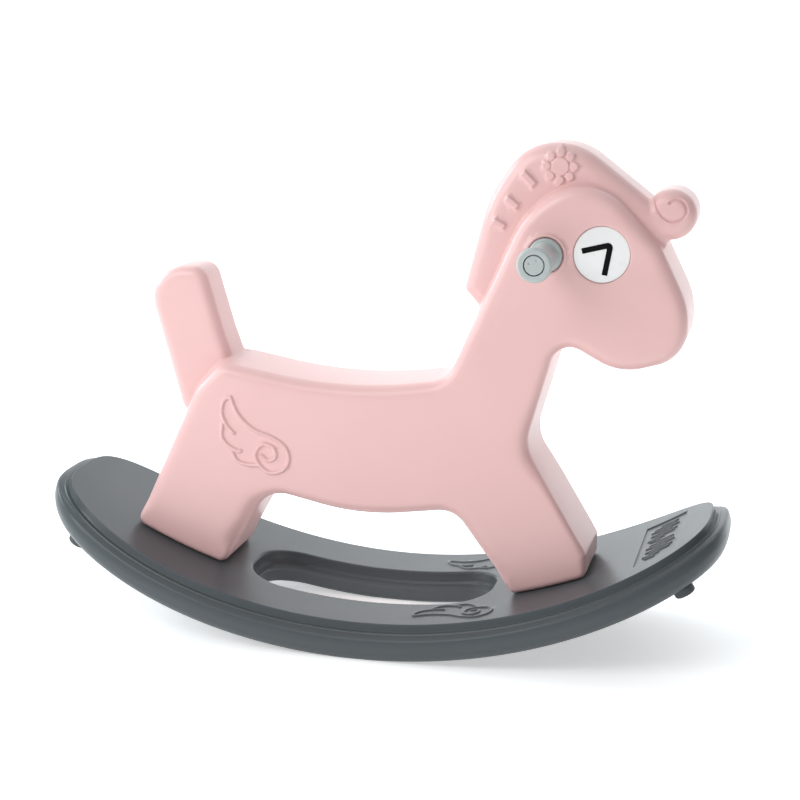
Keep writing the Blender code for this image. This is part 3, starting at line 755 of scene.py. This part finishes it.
def dropped(points, depth):
    """Points of the base's plan view, put straight down on the arc at a depth."""
    height = BASE_THICKNESS + ROCKER_RADIUS - np.sqrt((ROCKER_RADIUS + depth) ** 2 - points[:, 0] ** 2)
    return np.column_stack((points, np.maximum(height, 0)))


def leaning(points, depth):
    """The base's outer wall, seen from above: it leans out a little towards the ends."""
    return points * (1 + RIM_LEAN * depth / ROCKER_RADIUS, 1)


def plan_view(loop):
    """A loop drawn along and across the arc, as seen from above."""
    return np.column_stack((ROCKER_RADIUS * np.sin(loop[:, 0] / ROCKER_RADIUS), loop[:, 1]))


def superellipse(half_length, half_width, exponent, count=2400):
    angles = np.arange(count) * math.tau / count
    cos, sin = np.cos(angles), np.sin(angles)
    return np.column_stack((
        half_length * np.sign(cos) * np.abs(cos) ** (2 / exponent),
        half_width * np.sign(sin) * np.abs(sin) ** (2 / exponent),
    ))


def evened(loop, spacing):
    """Evenly spaced points round a closed loop."""
    closed = np.vstack((loop, loop[:1]))
    lengths = np.hypot(*np.diff(closed, axis=0).T)
    walked = np.concatenate(([0], np.cumsum(lengths)))
    count = round(walked[-1] / spacing)
    wanted = np.arange(count) * walked[-1] / count
    return np.column_stack((np.interp(wanted, walked, closed[:, 0]), np.interp(wanted, walked, closed[:, 1])))


def outward(loop):
    """Unit normals of an anticlockwise closed loop."""
    step = np.roll(loop, -1, 0) - np.roll(loop, 1, 0)
    normals = np.column_stack((step[:, 1], -step[:, 0]))
    return normals / np.hypot(*normals.T)[:, None]


PLATEAU = superellipse(PLATEAU_HALF_LENGTH, PLATEAU_HALF_WIDTH, PLATEAU_EXPONENT)
PLATEAU = evened(plan_view(PLATEAU), AROUND_SPACING)
SLOT = rounded((
    (SLOT_REAR, -SLOT_HALF_WIDTH, SLOT_CORNER), (SLOT_FRONT, -SLOT_HALF_WIDTH, SLOT_CORNER),
    (SLOT_FRONT, SLOT_HALF_WIDTH, SLOT_CORNER), (SLOT_REAR, SLOT_HALF_WIDTH, SLOT_CORNER),
))
SLOT = evened(plan_view(SLOT), AROUND_SPACING)


def box_depth(points, low_x, high_x, low_y, high_y):
    """Distance inside a rectangle, negative outside it."""
    return np.minimum.reduce((
        points[:, 0] - low_x, high_x - points[:, 0], points[:, 1] - low_y, high_y - points[:, 1],
    ))


def panel_marks():
    """Plain raised bars in the front panel, in place of any lettering."""
    rear, _, low, _ = PANEL
    marks = []
    for k, (start, length) in enumerate(PANEL_BARS * PANEL_BAR_ROUNDS):
        side = low + PANEL_BAR_START + k * PANEL_BAR_STEP
        marks.append((rear + start, rear + start + length, side, side + PANEL_BAR_WIDTH))
    return marks


def top_depth(points):
    """Depth of the base's top surface: reliefs stand up from it and the panel sinks in."""
    depth = np.zeros(len(points))
    for paths in BASE_WINGS:
        depth -= wing_relief(points, paths, BASE_WING_HALF_WIDTH, BASE_WING_HEIGHT)
    depth += PANEL_DEPTH * ease(0, PANEL_EDGE, box_depth(points, *PANEL))
    for mark in panel_marks():
        depth -= PANEL_BAR_HEIGHT * ease(0, PANEL_EDGE, box_depth(points, *mark))
    return depth


def rectangle(low_x, high_x, low_y, high_y, inset):
    """A rectangle's outline, moved inwards by inset."""
    low_x, high_x, low_y, high_y = low_x + inset, high_x - inset, low_y + inset, high_y - inset
    loop = np.array(((low_x, low_y), (high_x, low_y), (high_x, high_y), (low_x, high_y)))
    return split_edges(loop, PANEL_SPACING)


def base_top(outer, inner):
    chains = [(outer, True), (inner, True)]
    for box in (PANEL, *panel_marks()):
        chains += [(rectangle(*box, inset), True) for inset in PANEL_RINGS]
    grid = hex_grid(*BASE_BOX, TOP_GRID)
    plain = (depth_inside(grid, outer) > EDGE_CLEAR) & (depth_inside(grid, inner) < -EDGE_CLEAR)
    spots = [grid[plain]]
    for paths in BASE_WINGS:
        middle = np.mean(np.vstack(paths), axis=0)
        fine = hex_grid(middle - BASE_WING_REACH, middle + BASE_WING_REACH, BASE_FINE)
        spots.append(fine[near_paths(fine, paths, BASE_WING_HALF_WIDTH + FINE)])
        chains += [(path, False) for path in paths]

    def keep(centres):
        return (depth_inside(centres, outer) > 0) & (depth_inside(centres, inner) < 0)

    flat, triangles = triangulated(chains, np.vstack(spots), keep)
    return dropped(flat, top_depth(flat)), triangles


def base_floor(outer, inner):
    """The floor side with its four counterbores."""
    holes = [
        circle((x * (1 + COUNTERBORE_DEPTH / ROCKER_RADIUS), y), COUNTERBORE_RADIUS, 48)
        for x, y in BOLT_POINTS
    ]
    chains = [(loop, True) for loop in (outer, inner, *holes)]
    grid = hex_grid(*BASE_BOX, FLOOR_GRID)

    def keep(points):
        clear = (depth_inside(points, outer) > 0) & (depth_inside(points, inner) < 0)
        for hole in holes:
            clear &= depth_inside(points, hole) < 0
        return clear

    flat, triangles = triangulated(chains, grid[keep(grid)], keep)
    parts = [(dropped(flat, np.full(len(flat), FLOOR_DEPTH)), triangles[:, ::-1])]
    for hole in holes:
        middle = hole.mean(0)
        levels = ((1.0, FLOOR_DEPTH), (1.0, BOSS_FLOOR), (0.5, BOSS_FLOOR))
        rings = [
            dropped(middle + (hole - middle) * share, np.full(len(hole), depth)) for share, depth in levels
        ]
        points, faces = strips(rings)
        parts.append(capped(points, faces, len(hole)))
    return parts


def base_body():
    plateau_normals, slot_normals = outward(PLATEAU), outward(SLOT)
    rim = rounded(RIM, closed=False, turn_step=math.radians(12))
    wall = rounded(SLOT_WALL, closed=False, turn_step=math.radians(15))
    rim_loops = [leaning(PLATEAU + plateau_normals * offset, depth) for offset, depth in rim]
    rim_rings = [dropped(loop, np.full(len(loop), depth)) for loop, (_, depth) in zip(rim_loops, rim)]
    wall_rings = [dropped(SLOT - slot_normals * offset, np.full(len(SLOT), depth)) for offset, depth in wall]
    parts = [
        base_top(rim_loops[0], SLOT - slot_normals * wall[0][0]),
        strips(rim_rings),
        strips(wall_rings),
        *base_floor(rim_loops[-1], SLOT - slot_normals * wall[-1][0]),
    ]
    base = joined("base_body", parts, SLATE)
    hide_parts("rocker_base")
    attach(base, "horse")


# ---------------------------------------------------------------- eyes
# The wink: two strokes from an outer corner, in metres from the eye's middle.
WINK_OUTER = ((-0.0200, 0.0028), (0.0085, 0.0103), (0.0034, -0.0205))
WINK_WIDTH = 0.0056
WINK_THICKNESS = 0.0004
EYE_THICKNESS = 0.0013


def eye_discs():
    back = TRUNK_HALF_WIDTH - EYE_RECESS + 0.0001
    front = back + EYE_THICKNESS
    radius = EYE_RADIUS - 0.0002
    profile = rounded((
        (0.0, back, 0.0), (radius, back, 0.0003), (radius, front, 0.0005), (0.0, front, 0.0),
    ), closed=False, turn_step=math.radians(15))
    for side_name, side in SIDES:
        disc = joined(f"eye_{side_name}", [turned(profile, 120)], WHITE, math.radians(40))
        beside(disc, side, EYE_CENTRE)
        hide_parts(f"eye_disc_{side_name}")
        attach(disc, "horse")
        wink(side_name, side, front)


def wink(side_name, side, front):
    """A printed wink, as a thin layer with square ends and a rounded outer corner."""
    start, corner, end = (Vector(point) for point in WINK_OUTER)
    into, out = (corner - start).normalized(), (end - corner).normalized()
    half = WINK_WIDTH / 2
    into_side, out_side = Vector((into.y, -into.x)), Vector((out.y, -out.x))
    outer = corner - into_side * half
    outer += into * ((corner - out_side * half - outer).cross(out) / into.cross(out))
    inner = corner * 2 - outer
    outline = (
        (*(start + into_side * half), 0.0001), (*inner, 0.0008), (*(end + out_side * half), 0.0001),
        (*(end - out_side * half), 0.0001), (*outer, 0.0050), (*(start - into_side * half), 0.0001),
    )
    low, high = front - 0.0001, front + WINK_THICKNESS
    rings = []
    for inset, y in ((0.0, low), (0.0, high - 0.00012), (0.00012, high)):
        ring = rounded(outline, inset)
        rings.append(np.column_stack((EYE_CENTRE[0] + ring[:, 0], np.full(len(ring), side * y),
                                      EYE_CENTRE[1] + ring[:, 1])))
    points, faces = strips(rings)
    count = len(rings[0])
    faces += [tuple(range(count - 1, -1, -1)), tuple(range(2 * count, 3 * count))]
    piece = joined(f"wink_{side_name}", [(points, faces)], BLACK, math.radians(30))
    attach(piece, "horse")


# ---------------------------------------------------------------- handle
GRIP_END = 0.1225
# Grip surface from the middle outwards: radius, distance from the middle plane, rounding.
GRIP_PROFILE = (
    (0.0045, 0.0003, 0.0),
    (0.0124, 0.0003, 0.0006),
    (0.0124, 0.0493, 0.0003),
    (0.0172, 0.0493, 0.0008),
    (0.0172, 0.0553, 0.0022),
    (0.0130, 0.0556, 0.0018),
    (0.0128, 0.0850, 0.0300),
    (0.0130, 0.1145, 0.0020),
    (0.0175, 0.1148, 0.0022),
    (0.0175, GRIP_END, 0.0030),
    (0.0106, GRIP_END, 0.0005),
    (0.0105, 0.1080, 0.0003),
    (0.0045, 0.1080, 0.0),
    (0.0045, 0.0003, 0.0),
)
PLUG_RADIUS = 0.0096
PLUG_DEPTH, PLUG_SINK = 0.0038, 0.0004                      # of its two ends, below the grip's end
PLUG_FACE, PLUG_MIDDLE, PLUG_RING = 0.0080, 0.0004, 0.00035     # rings of the flat face
PLUG_DIMPLES = ((-0.0046, 0.0020), (0.0026, 0.0051))
DIMPLE_RADIUS, DIMPLE_DEPTH = 0.0016, 0.0010


def grips():
    profile = rounded(GRIP_PROFILE, closed=False, turn_step=math.radians(12))
    for side_name, side in SIDES:
        grip = joined(f"grip_{side_name}", [turned(profile)], GRIP, math.radians(50))
        beside(grip, side, HANDLE_CENTRE)
        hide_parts(f"handle_grip_{side_name}")
        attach(grip, "handle")


def plugs():
    """End plugs with a soft edge and two small pin marks."""
    count = 72
    angles = np.arange(count) * math.tau / count
    edge = rounded((
        (PLUG_RADIUS - 0.0010, GRIP_END - PLUG_DEPTH, 0.0), (PLUG_RADIUS, GRIP_END - PLUG_DEPTH, 0.0003),
        (PLUG_RADIUS, GRIP_END - PLUG_SINK, 0.0009), (PLUG_RADIUS - 0.0016, GRIP_END - PLUG_SINK, 0.0),
    ), closed=False, turn_step=math.radians(15))
    face = np.arange(PLUG_FACE, PLUG_MIDDLE, -PLUG_RING)
    profile = [*edge, *((radius, GRIP_END - PLUG_SINK) for radius in face)]
    for side_name, side in SIDES:
        rings = []
        for radius, height in profile:
            ring = np.column_stack((radius * np.cos(angles), radius * np.sin(angles), np.full(count, height)))
            if radius < PLUG_FACE + 0.0002:
                for x, z in PLUG_DIMPLES:
                    away = np.hypot(ring[:, 0] - x, ring[:, 1] + side * z)
                    ring[:, 2] -= DIMPLE_DEPTH * ease(0, 0.8, 1 - away / DIMPLE_RADIUS)
            rings.append(ring)
        points, faces = strips(rings)
        points, faces = capped(points, faces, count)
        plug = joined(f"plug_{side_name}", [capped(points, faces, count, last=False)], GRIP, math.radians(40))
        beside(plug, side, HANDLE_CENTRE)
        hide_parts(f"handle_plug_{side_name}")
        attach(plug, "handle")


# ---------------------------------------------------------------- stoppers and fasteners
# Along the arc. The frame has the front ones at 0.3186, and their screws stay where the frame has them.
STOPPER_REAR, STOPPER_FRONT = -0.3186, 0.3235
STOPPER_SPREAD = 0.078
STOPPER_PROFILE = (
    (0.0024, -0.0003, 0.0),
    (0.0110, -0.0003, 0.0003),
    (0.0110, -0.0090, 0.0028),
    (0.0052, -0.0090, 0.0008),
    (0.0052, -0.0048, 0.0003),
    (0.0024, -0.0048, 0.0),
    (0.0024, -0.0003, 0.0),
)


def stoppers():
    """Rubber stoppers under the rocker's ends, the front ones a little further out."""
    profile = rounded(STOPPER_PROFILE, closed=False, turn_step=math.radians(12))
    for end_name, along in (("rear", STOPPER_REAR), ("front", STOPPER_FRONT)):
        for side_name, side in SIDES:
            stopper = joined(f"foot_{end_name}_{side_name}", [turned(profile, 64)], RUBBER, math.radians(50))
            angle = along / ROCKER_RADIUS
            reach = ROCKER_RADIUS + FLOOR_DEPTH
            place = Vector((
                reach * math.sin(angle), side * STOPPER_SPREAD,
                BASE_THICKNESS + ROCKER_RADIUS - reach * math.cos(angle),
            ))
            stopper.data.transform(Matrix.Translation(place) @ Matrix.Rotation(-angle, 4, "Y"))
            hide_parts(f"stopper_{end_name}_{side_name}")
            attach(stopper, "horse")


def finish_frame_nodes():
    """Procedural metal on the fasteners that stay as the frame has them."""
    finishes = {"zinc_steel": STEEL, "brass": BRASS}
    for part in frame["record"]["subparts"]:
        finish = finishes.get(part["material_slot"])
        if finish is None:
            continue
        mesh = frame["nodes"][part["node"]].data
        mesh.materials.clear()
        mesh.materials.append(finish)


# ---------------------------------------------------------------- camera, stage and light
CAMERA_AZIMUTH, CAMERA_ELEVATION, CAMERA_ROLL = (math.radians(a) for a in (13.211, 12.985, 0.85))
CAMERA_DISTANCE = 1.998
CAMERA_TARGET = Vector((0.0132, 0.0, 0.2456))
FOCAL_LENGTH, SENSOR = 84.16, 36.0
STAGE_HALF_WIDTH, STAGE_FRONT, STAGE_BACK, STAGE_TOP = 6.0, -4.0, 2.5, 5.0
STAGE_BEND, STAGE_STEPS = 1.5, 12           # the bend from the floor up into the backdrop


def camera():
    azimuth, elevation, roll = CAMERA_AZIMUTH, CAMERA_ELEVATION, CAMERA_ROLL
    level_reach = math.cos(elevation)
    ahead = Vector((-math.sin(azimuth) * level_reach, math.cos(azimuth) * level_reach, -math.sin(elevation)))
    level = Vector((math.cos(azimuth), math.sin(azimuth), 0))
    above = level.cross(ahead)
    right = level * math.cos(roll) + above * math.sin(roll)
    up = above * math.cos(roll) - level * math.sin(roll)
    data = bpy.data.cameras.new("camera")
    data.sensor_width, data.lens = SENSOR, FOCAL_LENGTH
    made = bpy.data.objects.new("camera", data)
    place = CAMERA_TARGET - ahead * CAMERA_DISTANCE
    made.matrix_world = Matrix.Translation(place) @ Matrix((right, up, -ahead)).transposed().to_4x4()
    bpy.context.collection.objects.link(made)
    bpy.context.scene.camera = made


def stage():
    """A pale floor that curves up into a backdrop."""
    made = bpy.data.materials.new("stage_paint")
    made.use_nodes = True
    shader = made.node_tree.nodes["Principled BSDF"]
    shader.inputs["Base Color"].default_value = (0.93, 0.93, 0.93, 1)
    shader.inputs["Roughness"].default_value = 0.9
    shader.inputs["Emission Color"].default_value = (1, 1, 1, 1)
    shader.inputs["Emission Strength"].default_value = 0.45
    profile = [(STAGE_FRONT, 0.0), (STAGE_BACK, 0.0)]
    for k in range(1, STAGE_STEPS + 1):
        angle = math.pi / 2 * k / STAGE_STEPS
        profile.append((STAGE_BACK + STAGE_BEND * math.sin(angle), STAGE_BEND - STAGE_BEND * math.cos(angle)))
    profile.append((STAGE_BACK + STAGE_BEND, STAGE_TOP))
    rings = [np.array(((-STAGE_HALF_WIDTH, y, z), (STAGE_HALF_WIDTH, y, z))) for y, z in profile]
    points, faces = strips(rings, closed_ring=False)
    floor = joined("stage_floor", [(points - (0, 0, 0.0002), faces)], made)


def area_light(name, place, target, size, power, colour=(1.0, 1.0, 1.0)):
    data = bpy.data.lights.new(name, "AREA")
    data.shape = "RECTANGLE"
    data.size, data.size_y = size
    data.energy = power
    data.color = colour
    made = bpy.data.objects.new(name, data)
    made.location = place
    made.rotation_euler = (Vector(target) - Vector(place)).to_track_quat("-Z", "Y").to_euler()
    bpy.context.collection.objects.link(made)


def lights():
    world = bpy.data.worlds.new("soft_room")
    world.use_nodes = True
    sky = world.node_tree.nodes["Background"]
    sky.inputs["Color"].default_value = (0.97, 0.985, 1.0, 1)
    sky.inputs["Strength"].default_value = 0.24
    bpy.context.scene.world = world
    middle = (0.0, 0.0, 0.25)
    cool = (0.80, 0.93, 1.0)
    area_light("overhead", (0.0, -0.2, 2.3), middle, (2.2, 1.6), 7, cool)
    area_light("key", (-1.0, -1.3, 1.35), middle, (1.3, 1.0), 16)
    area_light("left_box", (-2.4, 0.5, 1.3), middle, (1.6, 1.2), 32, cool)
    area_light("low_left", (-1.8, -1.1, 0.75), (-0.3, 0.0, 0.1), (0.5, 0.35), 5)
    area_light("right_box", (1.5, -1.0, 2.2), middle, (0.9, 0.9), 1)
    area_light("backdrop", (0.0, 1.2, 2.6), (0.0, 3.4, 0.4), (5.0, 1.0), 80, (0.90, 0.97, 1.0))


bpy.context.scene.view_settings.view_transform = "Standard"
camera()
stage()
lights()
horse_body()
base_body()
eye_discs()
grips()
plugs()
stoppers()
finish_frame_nodes()
